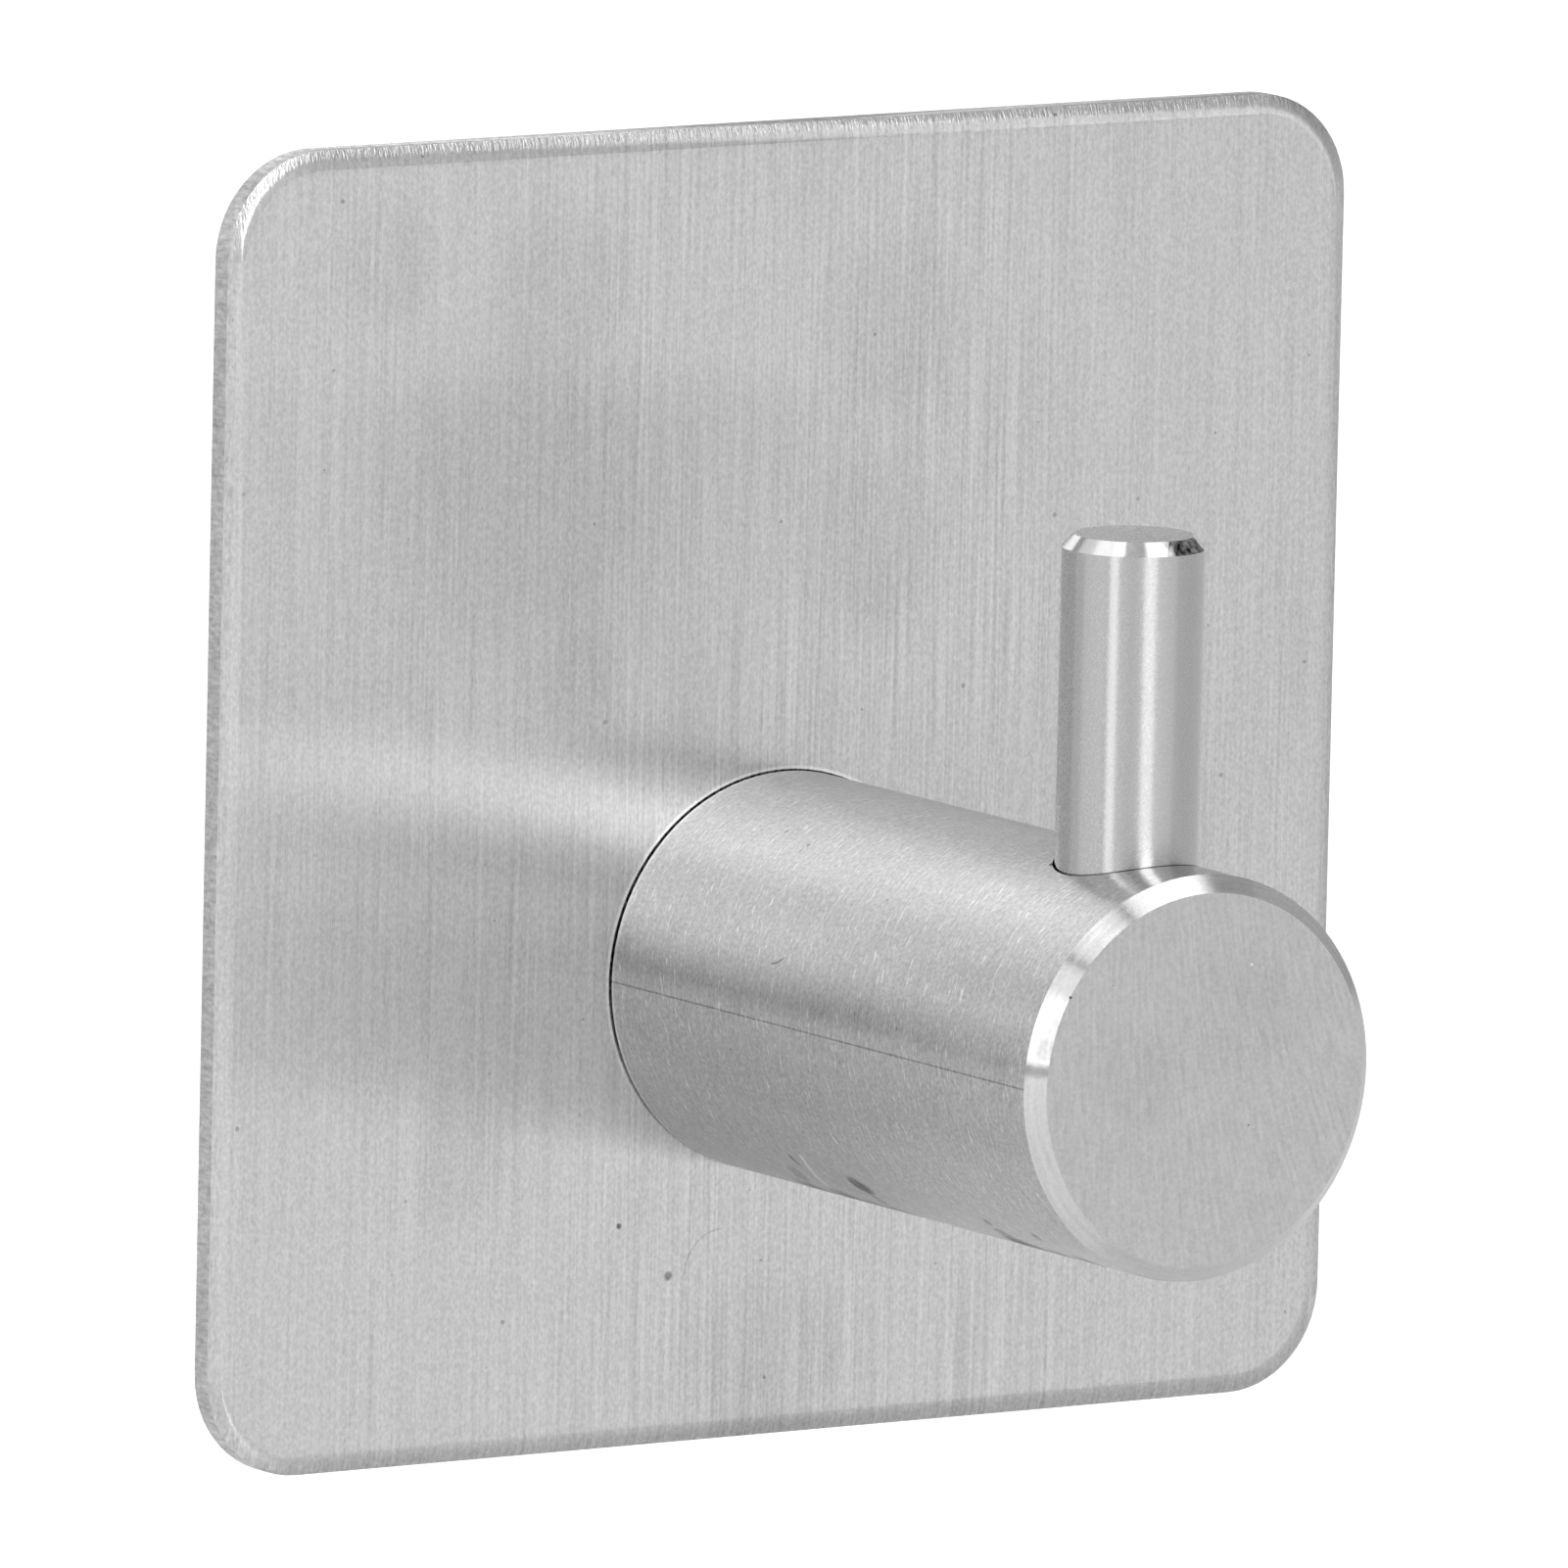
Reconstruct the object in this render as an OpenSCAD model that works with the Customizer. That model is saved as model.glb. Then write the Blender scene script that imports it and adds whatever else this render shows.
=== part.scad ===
// Stick-on wall hook: a stamped square plate, a turned post and an upright pin, on foam tape with a release liner.
// The wall is the plane Y = 0, the hook stands out along -Y, and +Z is up.
// The origin is the middle of the face that goes to the wall.

/* [Plate] */
// Side of the square plate
plate_side = 45; // [40:0.5:70]
// Thickness of the sheet
plate_t = 1; // [0.8:0.1:1.5]
// Radius of the plate's corners
corner_r = 3.6; // [2:0.1:8]
// Width of the front edge that the punch rolls over
roll_w = 0.65; // [0.4:0.05:1.2]
// Depth of the rolled front edge
roll_d = 0.2; // [0.1:0.05:0.4]

/* [Post] */
// Diameter of the post
post_d = 13.7; // [12:0.1:18]
// Length of the post in front of the plate
post_len = 26; // [22:0.5:45]
// Distance of the post's axis below the plate's middle
post_drop = 6.5; // [0:0.5:10]
// Bevel round the post's front face
post_bevel = 0.55; // [0.2:0.05:1]
// Bevel round the post's foot, the fine dark line at the plate
foot_bevel = 0.1; // [0.05:0.01:0.3]

/* [Pin] */
// Diameter of the pin
pin_d = 4.8; // [4:0.1:6]
// Distance of the pin's axis behind the post's front face
pin_setback = 5; // [4:0.25:7]
// Height of the pin above the top of the post
pin_rise = 10.85; // [6:0.05:20]
// Depth of the pin below the top of the post
pin_sink = 9.85; // [7:0.05:10.5]
// Bevel of the pin's top, measured across
pin_bevel_w = 0.38; // [0.2:0.02:0.8]
// Bevel of the pin's top, measured down
pin_bevel_h = 0.45; // [0.2:0.05:0.8]

/* [Screw] */
// Diameter of the screw's thread
screw_d = 4; // [3.5:0.1:5]
// Length of the countersunk screw, head included
screw_len = 10; // [8:0.5:13]
// Diameter of the screw's head
head_d = 7.5; // [7:0.1:8.4]
// Pitch of the thread
thread_pitch = 0.7; // [0.5:0.05:1]
// Depth of the thread
thread_depth = 0.4; // [0.25:0.05:0.5]

/* [Tape and liner] */
// Thickness of the foam tape
tape_t = 0.8; // [0.4:0.1:2]
// Margin of bare plate round the tape
tape_inset = 2.5; // [1.5:0.1:5]
// Radius of the tape's corners
tape_corner_r = 2; // [0.5:0.1:5]
// Thickness of the release liner
liner_t = 0.1; // [0.05:0.01:0.2]
// Width of the finger tab at the liner's lower edge
tab_w = 12; // [8:0.5:20]

/* [Fits] */
// Bite of the pin in its bore, on the radius
press_bite = 0.01; // [0.005:0.005:0.02]
// Gap round the pin at the mouth of its bore, on the radius
mouth_gap = 0.07; // [0.03:0.01:0.15]
// Gap under the pin's lower end
pin_end_gap = 0.2; // [0.1:0.05:0.5]
// Gap between the screw's cone and its seat
seat_gap = 0.03; // [0.02:0.01:0.1]
// Gap round the screw's shank in the plate, on the radius
shank_gap = 0.15; // [0.1:0.05:0.3]
// Gap between the screw's thread and the tapped hole, on the radius
thread_gap = 0.04; // [0.02:0.01:0.08]
// Gap round the plate's pressed cone inside the post
cone_gap = 0.2; // [0.1:0.05:0.4]

/* [Hidden] */
$fn = 96;

// How far cuts run past the faces that they open
overrun = 0.5;

// Distances from the wall
tape_from_wall = liner_t;
plate_from_wall = tape_from_wall + tape_t;
post_from_wall = plate_from_wall + plate_t;
pin_from_wall = post_from_wall + post_len - pin_setback;

// Plate: the straight run between the corners, and the arc of the rolled edge
half_run = plate_side / 2 - corner_r;
roll_r = (roll_w * roll_w + roll_d * roll_d) / (2 * roll_d);

// Screw: depths run forwards from the plate's back face
head_r = head_d / 2;
screw_r = screw_d / 2;
core_r = screw_r - thread_depth;
head_sink = 0.1;
head_rim = 0.2;
cone_top = head_sink + head_rim;
cone_end = cone_top + head_r - core_r;
tip_bevel = 0.4;
tip_end = head_sink + screw_len;
turns = floor((tip_end - tip_bevel - cone_end) / thread_pitch);
thread_end = cone_end + turns * thread_pitch;
recess_w = 0.9;
recess_l = 4.2;
recess_d = 1.3;
recess_hub_share = 0.5;

// Pressed cone in the plate: a 45 degree seat for the head, and the same cone one wall further out
seat_r = head_r + cone_top + seat_gap * sqrt(2);
shank_hole_r = screw_r + shank_gap;
cone_wall_share = 0.85;
cone_wall = plate_t * cone_wall_share * sqrt(2);
seat_depth = seat_r - shank_hole_r;
cone_lip = 0.45;
cone_depth = max(seat_depth, plate_t) + cone_lip;
cone_foot_r = seat_r + cone_wall - plate_t;
cone_tip_r = max(seat_r + cone_wall - cone_depth, shank_hole_r + cone_lip);

// Post: the recess that clears the cone, and the tapped hole
post_r = post_d / 2;
relief_r = cone_foot_r + cone_gap;
relief_depth = cone_depth - plate_t + cone_gap;
drill_spare = 1.2;
hole_end = tip_end - plate_t + drill_spare;

// Pin: heights run up from the post's axis
pin_r = pin_d / 2;
pin_top = post_r + pin_rise;
pin_end = post_r - pin_sink;
pin_end_bevel = 0.3;
bore_r = pin_r - press_bite;
mouth_r = pin_r + mouth_gap;
mouth_spare = 0.4;
mouth_end = sqrt(post_r * post_r - mouth_r * mouth_r) - mouth_spare;

// Tape and liner
tape_side = plate_side - 2 * tape_inset;
tab_margin = 0.4;
tab_reach = tape_inset - tab_margin;
tab_r_share = 0.8;
tab_r = tab_reach * tab_r_share;

// Turns a shape drawn flat so that its height runs out from the wall, from the given distance
module from_wall(distance) {
    translate([0, -distance, 0])
        rotate([90, 0, 0])
            children();
}

// The same, about the post's axis
module about_post(distance) {
    from_wall(distance)
        translate([0, -post_drop, 0])
            children();
}

// Flat square with round corners
module rounded_square(side, radius) {
    straight = side - 2 * radius;
    square([side, straight], center = true);
    square([straight, side], center = true);
    for (x = [-1, 1], y = [-1, 1])
        translate([x * straight / 2, y * straight / 2])
            circle(radius);
}

// Section through the plate's rim: flat at the back, rolled over at the front
module rim_section() {
    difference() {
        square([corner_r, plate_t]);
        difference() {
            translate([corner_r - roll_w, plate_t - roll_d])
                square([roll_w + overrun, roll_d + overrun]);
            translate([corner_r - roll_w, plate_t - roll_r])
                circle(roll_r);
        }
    }
}

// Sheet before the cone is pressed: a middle square, four straight rims and four round corners
module plate_blank() {
    linear_extrude(plate_t)
        square(2 * half_run, center = true);
    for (quarter = [0 : 3])
        rotate(90 * quarter) {
            translate([half_run, 0, 0])
                rotate([90, 0, 0])
                    linear_extrude(2 * half_run, center = true)
                        rim_section();
            translate([half_run, half_run, 0])
                rotate_extrude(angle = 90)
                    rim_section();
        }
}

// Outside of the pressed cone, from the plate's back face to its tip
module pressed_cone() {
    rotate_extrude()
        polygon([
            [0, 0],
            [cone_foot_r, 0],
            [cone_foot_r, plate_t],
            [cone_tip_r, cone_depth],
            [0, cone_depth]
        ]);
}

// Seat for the screw head and the hole for its shank
module screw_seat() {
    rotate_extrude()
        polygon([
            [0, -overrun],
            [seat_r + overrun, -overrun],
            [shank_hole_r, seat_depth],
            [shank_hole_r, cone_depth + overrun],
            [0, cone_depth + overrun]
        ]);
}

module back_plate() {
    color("silver")
        difference() {
            union() {
                from_wall(plate_from_wall)
                    plate_blank();
                about_post(plate_from_wall)
                    pressed_cone();
            }
            about_post(plate_from_wall)
                screw_seat();
        }
}

// Zigzag outline of thread rings, grown by a gap, between two depths
function thread_rings(gap, start, count) = [
    for (i = [0 : count - 1])
        each [
            [core_r + gap, start + i * thread_pitch],
            [screw_r + gap, start + (i + 1 / 2) * thread_pitch]
        ]
];

// Tapped hole, measured from the post's foot, with the cone of the drill at its end
module tapped_hole() {
    rotate_extrude()
        polygon(concat(
            [[0, -overrun], [core_r + thread_gap, -overrun]],
            thread_rings(thread_gap, cone_end - plate_t, turns),
            [
                [core_r + thread_gap, thread_end - plate_t],
                [core_r + thread_gap, hole_end],
                [0, hole_end + core_r]
            ]
        ));
}

// Bore for the pin, with a wider mouth
module pin_bore() {
    bottom = pin_end - pin_end_gap;
    translate([0, 0, bottom])
        cylinder(h = post_r + overrun - bottom, r = bore_r);
    translate([0, 0, mouth_end])
        cylinder(h = post_r + overrun - mouth_end, r = mouth_r);
}

module post_bar() {
    rotate_extrude()
        polygon([
            [0, 0],
            [post_r - foot_bevel, 0],
            [post_r, foot_bevel],
            [post_r, post_len - post_bevel],
            [post_r - post_bevel, post_len],
            [0, post_len]
        ]);
}

module post() {
    color("silver")
        difference() {
            about_post(post_from_wall)
                difference() {
                    post_bar();
                    translate([0, 0, -overrun])
                        cylinder(h = relief_depth + overrun, r = relief_r);
                    tapped_hole();
                }
            translate([0, -pin_from_wall, -post_drop])
                pin_bore();
        }
}

module pin() {
    color("gainsboro")
        translate([0, -pin_from_wall, -post_drop])
            rotate_extrude()
                polygon([
                    [0, pin_end],
                    [pin_r - pin_end_bevel, pin_end],
                    [pin_r, pin_end + pin_end_bevel],
                    [pin_r, pin_top - pin_bevel_h],
                    [pin_r - pin_bevel_w, pin_top],
                    [0, pin_top]
                ]);
}

// Cross recess in the screw's head
module cross_recess() {
    for (turn = [0, 90])
        rotate(turn)
            translate([-recess_l / 2, -recess_w / 2, -overrun])
                cube([recess_l, recess_w, recess_d + overrun]);
    cylinder(h = recess_d, r1 = recess_l * recess_hub_share / 2, r2 = recess_w / 2);
}

module screw() {
    color("lightsteelblue")
        about_post(plate_from_wall)
            difference() {
                rotate_extrude()
                    polygon(concat(
                        [[0, head_sink], [head_r, head_sink], [head_r, cone_top]],
                        thread_rings(0, cone_end, turns),
                        [
                            [core_r, thread_end],
                            [core_r, tip_end - tip_bevel],
                            [core_r - tip_bevel, tip_end],
                            [0, tip_end]
                        ]
                    ));
                translate([0, 0, head_sink])
                    cross_recess();
            }
}

module foam_tape() {
    color("dimgray")
        from_wall(tape_from_wall)
            linear_extrude(tape_t)
                rounded_square(tape_side, tape_corner_r);
}

// Finger tab below the liner, with its outer corners rounded
module finger_tab() {
    flat_w = tab_w - 2 * tab_r;
    translate([0, -tape_side / 2 - tab_reach]) {
        translate([-flat_w / 2, 0])
            square([flat_w, tab_reach + tape_corner_r]);
        translate([-tab_w / 2, tab_r])
            square([tab_w, tab_reach + tape_corner_r - tab_r]);
        for (x = [-1, 1])
            translate([x * flat_w / 2, tab_r])
                circle(tab_r);
    }
}

module release_liner() {
    color("crimson")
        from_wall(0)
            linear_extrude(liner_t) {
                rounded_square(tape_side, tape_corner_r);
                finger_tab();
            }
}

back_plate();
post();
pin();
screw();
foam_tape();
release_liner();
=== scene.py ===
# %% [markdown]
# # A stick-on wall hook in brushed steel
# The hook is a thin square plate, a turned post and a small pin, all stainless steel. A foam tape and its
# peel-off liner sit behind the plate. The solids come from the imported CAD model, which is already at its
# real size, so this lesson never moves or scales them. It adds a camera, light, finishes, and the two
# thin layers at the back.

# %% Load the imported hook
import math

import bmesh
import bpy
from mathutils import Matrix, Vector, noise
from mathutils.geometry import delaunay_2d_cdt


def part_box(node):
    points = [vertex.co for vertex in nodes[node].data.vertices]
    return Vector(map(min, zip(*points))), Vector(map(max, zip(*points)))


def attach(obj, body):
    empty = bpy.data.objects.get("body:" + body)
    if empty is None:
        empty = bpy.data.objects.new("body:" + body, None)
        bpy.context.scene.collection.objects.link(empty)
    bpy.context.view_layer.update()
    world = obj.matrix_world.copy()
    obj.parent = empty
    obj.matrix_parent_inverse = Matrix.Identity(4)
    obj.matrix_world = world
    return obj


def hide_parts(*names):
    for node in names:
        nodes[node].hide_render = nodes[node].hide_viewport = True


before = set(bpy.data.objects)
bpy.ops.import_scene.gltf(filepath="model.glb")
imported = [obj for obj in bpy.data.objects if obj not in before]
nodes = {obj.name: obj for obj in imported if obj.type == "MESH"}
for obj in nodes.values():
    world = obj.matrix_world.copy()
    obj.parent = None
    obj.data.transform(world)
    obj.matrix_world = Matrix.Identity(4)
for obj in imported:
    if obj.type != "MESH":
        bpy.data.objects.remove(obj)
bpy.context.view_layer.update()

MM = 0.001

print("pieces:", sorted(nodes))

# %% [markdown]
# ## Sizes that the looks follow
# A finish has to know where the post's axis runs or where the plate's front face lies. Reading those from
# the solids' own boxes keeps one source for every size: if the CAD changes, the marks and the grain move
# with it. The boxes are in metres. The finishes work in millimetres, so the sizes that they need are
# turned into those.

# %% Measure the pieces
plate_low, plate_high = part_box("back_plate")
post_low, post_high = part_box("post")
pin_low, pin_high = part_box("pin")
tape_low, tape_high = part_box("foam_tape")
liner_low, liner_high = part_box("release_liner")

plate_half = (plate_high.z - plate_low.z) / 2 / MM
post_radius = (post_high.x - post_low.x) / 2 / MM
post_axis_z = (post_high.z + post_low.z) / 2 / MM
post_foot_y = post_high.y / MM
pin_radius = (pin_high.x - pin_low.x) / 2 / MM
pin_axis_y = (pin_high.y + pin_low.y) / 2 / MM
print("post radius in mm:", round(post_radius, 3), "axis height:", round(post_axis_z, 3))

# %% [markdown]
# ## Camera
# The photograph was taken from the left and slightly above with a very long lens, so the edges that run
# away from the viewer stay nearly parallel. The camera stands at the place that was solved from the
# plate's corners and the post's outline, looks at a point close to the middle of the hook, and is rolled
# by a little over a degree.

# %% Set the camera
PHOTO_PIXELS = 1601
FOCAL_PIXELS = 30080.8
SENSOR_WIDTH = 36.0
CAMERA_PLACE = Vector((-0.539716, -0.830137, 0.148254))
CAMERA_AIM = Vector((0.000193, -0.001602, -0.000164))
CAMERA_ROLL = math.radians(1.2386)

camera_data = bpy.data.cameras.new("camera")
camera_data.sensor_width = SENSOR_WIDTH
camera_data.lens = FOCAL_PIXELS / PHOTO_PIXELS * SENSOR_WIDTH
camera = bpy.data.objects.new("camera", camera_data)
bpy.context.scene.collection.objects.link(camera)
level_turn = (CAMERA_AIM - CAMERA_PLACE).to_track_quat("-Z", "Y").to_matrix()
camera_turn = level_turn @ Matrix.Rotation(CAMERA_ROLL, 3, "Z")
camera.matrix_world = Matrix.Translation(CAMERA_PLACE) @ camera_turn.to_4x4()
bpy.context.scene.camera = camera
bpy.context.scene.view_settings.view_transform = "Standard"
print("lens in mm:", round(camera_data.lens, 1))

# %% [markdown]
# ## Shader helpers
# Every finish below is a small network of nodes. Short helpers keep the cells readable: one adds a node
# and fills its sockets, one does arithmetic between sockets, and a few name the steps of making a mask,
# which is a number that is 1 on a mark and 0 off it.

# %% Helpers for shader networks
def add_node(tree, kind, inputs=None, **choices):
    """Adds one node; inputs are numbers or other nodes' output sockets."""
    made = tree.nodes.new(kind)
    for name, value in choices.items():
        setattr(made, name, value)
    for name, value in (inputs or {}).items():
        if isinstance(value, bpy.types.NodeSocket):
            tree.links.new(value, made.inputs[name])
        else:
            made.inputs[name].default_value = value
    return made


def calc(tree, operation, first, second=0.0, third=0.0):
    """Does arithmetic on numbers or sockets, and gives the result's socket."""
    return add_node(tree, "ShaderNodeMath", {0: first, 1: second, 2: third}, operation=operation).outputs[0]


def ramp(tree, value, start, end):
    """Rises smoothly from 0 at start to 1 at end."""
    edges = {"Value": value, "From Min": start, "From Max": end}
    return add_node(tree, "ShaderNodeMapRange", edges, interpolation_type="SMOOTHSTEP").outputs[0]


def invert(tree, mask):
    """1 where a mask is 0, and 0 where it is 1."""
    return calc(tree, "SUBTRACT", 1.0, mask)


def fade(tree, value, start, end):
    """Falls smoothly from 1 at start to 0 at end."""
    return invert(tree, ramp(tree, value, start, end))


def overlap(tree, first, second):
    """Where two masks meet, or one mask made stronger or weaker by a number."""
    return calc(tree, "MULTIPLY", first, second)


def new_finish(name):
    """An empty material with its surface shader."""
    finish = bpy.data.materials.new(name)
    finish.use_nodes = True
    tree = finish.node_tree
    tree.nodes.clear()
    shader = add_node(tree, "ShaderNodeBsdfPrincipled")
    output = add_node(tree, "ShaderNodeOutputMaterial", {"Surface": shader.outputs["BSDF"]})
    output.is_active_output = True
    return finish, tree, shader


# %% [markdown]
# ## Floor
# The photograph has a pure white ground with no visible line at the back. A wide flat floor a little
# below the hook gives the same: from the camera's height it fills the whole picture.

# %% Lay the floor
FLOOR_DROP = 0.040
FLOOR_REACH = 4.0

floor_height = plate_low.z - FLOOR_DROP
floor_mesh = bpy.data.meshes.new("floor")
floor_shape = bmesh.new()
bmesh.ops.create_grid(floor_shape, x_segments=1, y_segments=1, size=FLOOR_REACH)
bmesh.ops.translate(floor_shape, verts=floor_shape.verts, vec=(0, 0, floor_height))
floor_shape.to_mesh(floor_mesh)
floor_shape.free()
floor = bpy.data.objects.new("floor", floor_mesh)
bpy.context.scene.collection.objects.link(floor)
print("floor height in mm:", round(floor_height / MM, 1))

# %% [markdown]
# The floor glows by itself, but only to the camera and to reflections in the metal. The glow makes a
# white pool behind the hook and a lighter patch in front, which the plate's face mirrors. It is weaker
# close under the hook, as a painted shadow, and stronger again far off. The floor's plain diffuse part
# still takes the hook's soft shadow.

# %% Make the white finish of the floor
FLOOR_COLOUR = (0.7, 0.7, 0.7, 1.0)
GLOW_COLOUR = (1.0, 1.0, 1.0, 1.0)
FLOOR_GLOW = 0.11
PATCH_GLOW = 0.13
PATCH_PLACE = (-0.06, -0.36)
PATCH_FULL = 0.14
PATCH_END = 0.42
NEAR_PLACE = (0.055, -0.045)
NEAR_FULL = 0.03
NEAR_END = 0.10
FAR_GLOW = 0.12
FAR_MIDDLE = (0.0, 0.0)
FAR_START = 0.45
FAR_FULL = 0.90
POOL_GLOW = 0.50
POOL_BEARING = math.radians(33.1)
POOL_START = 0.07
POOL_FULL = 0.17
POOL_HALF_WIDTH = 0.045
POOL_EDGE = 0.04

floor_finish, tree, shader = new_finish("floor_white")
shader.inputs["Base Color"].default_value = FLOOR_COLOUR
shader.inputs["Roughness"].default_value = 1.0
shader.inputs["Specular IOR Level"].default_value = 0.0
shader.inputs["Emission Color"].default_value = GLOW_COLOUR
floor_place = add_node(tree, "ShaderNodeTexCoord").outputs["Object"]


def round_patch(middle, full, end):
    """1 on the floor round a place, fading out to an end distance."""
    places = {0: floor_place, 1: (*middle, floor_height)}
    away = add_node(tree, "ShaderNodeVectorMath", places, operation="DISTANCE").outputs["Value"]
    return fade(tree, away, full, end)


turned_place = add_node(tree, "ShaderNodeVectorRotate", {"Vector": floor_place, "Angle": POOL_BEARING},
                        rotation_type="Z_AXIS").outputs[0]
from_hook = add_node(tree, "ShaderNodeSeparateXYZ", {0: turned_place}).outputs
behind = ramp(tree, from_hook["Y"], POOL_START, POOL_FULL)
aside = calc(tree, "ABSOLUTE", from_hook["X"])
pool = overlap(tree, behind, fade(tree, aside, POOL_HALF_WIDTH, POOL_HALF_WIDTH + POOL_EDGE))
patch = round_patch(PATCH_PLACE, PATCH_FULL, PATCH_END)
# Painted shadow: the glow is weaker close under the hook
outside_painted_shadow = invert(tree, round_patch(NEAR_PLACE, NEAR_FULL, NEAR_END))
far_off = invert(tree, round_patch(FAR_MIDDLE, FAR_START, FAR_FULL))
glow = calc(tree, "MULTIPLY_ADD", patch, PATCH_GLOW, FLOOR_GLOW)
glow = calc(tree, "MULTIPLY", glow, outside_painted_shadow)
glow = calc(tree, "MULTIPLY_ADD", far_off, FAR_GLOW, glow)
glow = calc(tree, "MULTIPLY_ADD", pool, POOL_GLOW, glow)
ray = add_node(tree, "ShaderNodeLightPath").outputs
mirror_ray = calc(tree, "MAXIMUM", ray["Is Glossy Ray"], ray["Is Transmission Ray"])
seen_ray = calc(tree, "MAXIMUM", ray["Is Camera Ray"], mirror_ray)
tree.links.new(overlap(tree, seen_ray, glow), shader.inputs["Emission Strength"])
floor_mesh.materials.append(floor_finish)
print("floor finish:", len(tree.nodes), "nodes")

# %% [markdown]
# ## Light
# Metal looks like what it reflects. The two sharp streaks on the pin show two tall soft boxes, one to the
# left and one nearly in front, with the camera between them. Wider and weaker boxes around and above them
# give the broad bands on the post and the bright rim along the plate's top edge. The room behind them is
# a plain pale grey. Each lamp's power follows its area, so a wider box isn't a brighter one.

# %% Set the room and the soft boxes
ROOM_GREY = (0.41, 0.41, 0.41, 1.0)
HOOK_MIDDLE = Vector((0.0, -0.012, 0.0))
LAMP_REACH = 1.0
# Bearing, to the right of straight in front, and rise, both in degrees, then width and height in metres,
# and brightness
SOFT_BOXES = {
    "soft_box_left": (-63, 17.5, 0.25, 0.55, 3.3),
    "soft_box_left_wide": (-48, 28, 0.26, 0.56, 0.85),
    "soft_box_front": (-4, 28, 0.36, 0.80, 4.1),
    "soft_box_front_high": (8, 46, 0.60, 0.34, 0.4),
    "soft_box_front_right": (25, 19, 0.60, 0.66, 0.48),
    "soft_box_right": (97, 18, 0.45, 0.72, 0.08),
    "soft_box_right_top": (42, 62, 0.62, 0.36, 1.4),
    "soft_box_left_top": (-45, 58, 0.70, 0.40, 0.75),
    "soft_box_over": (-135, 68, 0.90, 0.60, 1.0),
    "soft_box_far_left": (-97, 18, 0.76, 0.60, 0.8),
    "soft_box_behind_left": (-150, 10, 0.60, 0.35, 0.6),
    "soft_box_behind_left_high": (-140, 42, 0.50, 0.30, 0.45),
    "soft_box_behind_right": (150, 9, 0.90, 0.26, 0.7),
}

world = bpy.data.worlds.new("room")
world.use_nodes = True
world.node_tree.nodes["Background"].inputs["Color"].default_value = ROOM_GREY
bpy.context.scene.world = world


def soft_box(name, bearing, rise, width, height, brightness):
    """A rectangular lamp that faces the hook."""
    turn = math.radians(bearing)
    lift = math.radians(rise)
    out = Vector((math.sin(turn) * math.cos(lift), -math.cos(turn) * math.cos(lift), math.sin(lift)))
    lamp = bpy.data.lights.new(name, "AREA")
    lamp.shape = "RECTANGLE"
    lamp.size = width
    lamp.size_y = height
    lamp.energy = brightness * math.pi * width * height
    box = bpy.data.objects.new(name, lamp)
    bpy.context.scene.collection.objects.link(box)
    aim = (-out).to_track_quat("-Z", "Y").to_matrix().to_4x4()
    box.matrix_world = Matrix.Translation(HOOK_MIDDLE + out * LAMP_REACH) @ aim
    box.visible_camera = False


for name, settings in SOFT_BOXES.items():
    soft_box(name, *settings)

# %% [markdown]
# ## Strokes and marks
# Brushing, turning and grinding all leave fine lines. A noise texture whose space is squeezed in one
# direction draws such lines at any size, without a picture and without unwrapping the piece. The noise is
# read in millimetres in the hook's own frame, so each line has its real width and length and moves with
# its piece. Its detail says how many finer layers of noise break the line up.

# %% Helpers for lines
PLAIN = 1.0
USUAL = 2.0
BROKEN = 3.0
NOISE_MIDDLE = 0.5


def place_in_mm(tree):
    """The point on the piece in millimetres, in the hook's own frame."""
    place = add_node(tree, "ShaderNodeTexCoord").outputs["Object"]
    return add_node(tree, "ShaderNodeVectorMath", {0: place, "Scale": 1 / MM}, operation="SCALE").outputs[0]


def strokes(tree, place, sizes, detail=USUAL):
    """Noise about zero whose marks are about sizes (x, y, z) in mm; long in one direction makes lines."""
    shares = [1 / size for size in sizes]
    scaled = add_node(tree, "ShaderNodeVectorMath", {0: place, 1: shares}, operation="MULTIPLY").outputs[0]
    texture = add_node(tree, "ShaderNodeTexNoise", {"Vector": scaled, "Scale": 1.0, "Detail": detail})
    return calc(tree, "SUBTRACT", texture.outputs[0], NOISE_MIDDLE)


def split(tree, vector):
    """The X, Y and Z of a vector."""
    return add_node(tree, "ShaderNodeSeparateXYZ", {0: vector}).outputs


def facing(tree):
    """Which way the surface itself faces, as X, Y and Z."""
    return split(tree, add_node(tree, "ShaderNodeNewGeometry").outputs["True Normal"])


# %% [markdown]
# A mark has a place and a size. The distance from its middle, or from the line that it follows, becomes a
# mask that fades out over the outer part of the mark.

# %% Helpers for marks
RIM_START = 0.4


def distance_to(tree, first, second, first_place, second_place):
    """How far a point lies from a place, measured in two directions."""
    first_gap = calc(tree, "SUBTRACT", first, first_place)
    second_gap = calc(tree, "SUBTRACT", second, second_place)
    square = calc(tree, "MULTIPLY", second_gap, second_gap)
    return calc(tree, "SQRT", calc(tree, "MULTIPLY_ADD", first_gap, first_gap, square))


def inside(tree, distance, size):
    """1 within a size of something, fading out towards its rim."""
    return fade(tree, distance, size * RIM_START, size)


def spots(tree, first, second, places):
    """Round marks, each given by its two places and its size in mm."""
    marks = 0.0
    for first_place, second_place, size in places:
        spot = inside(tree, distance_to(tree, first, second, first_place, second_place), size)
        marks = calc(tree, "MAXIMUM", marks, spot)
    return marks


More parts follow.
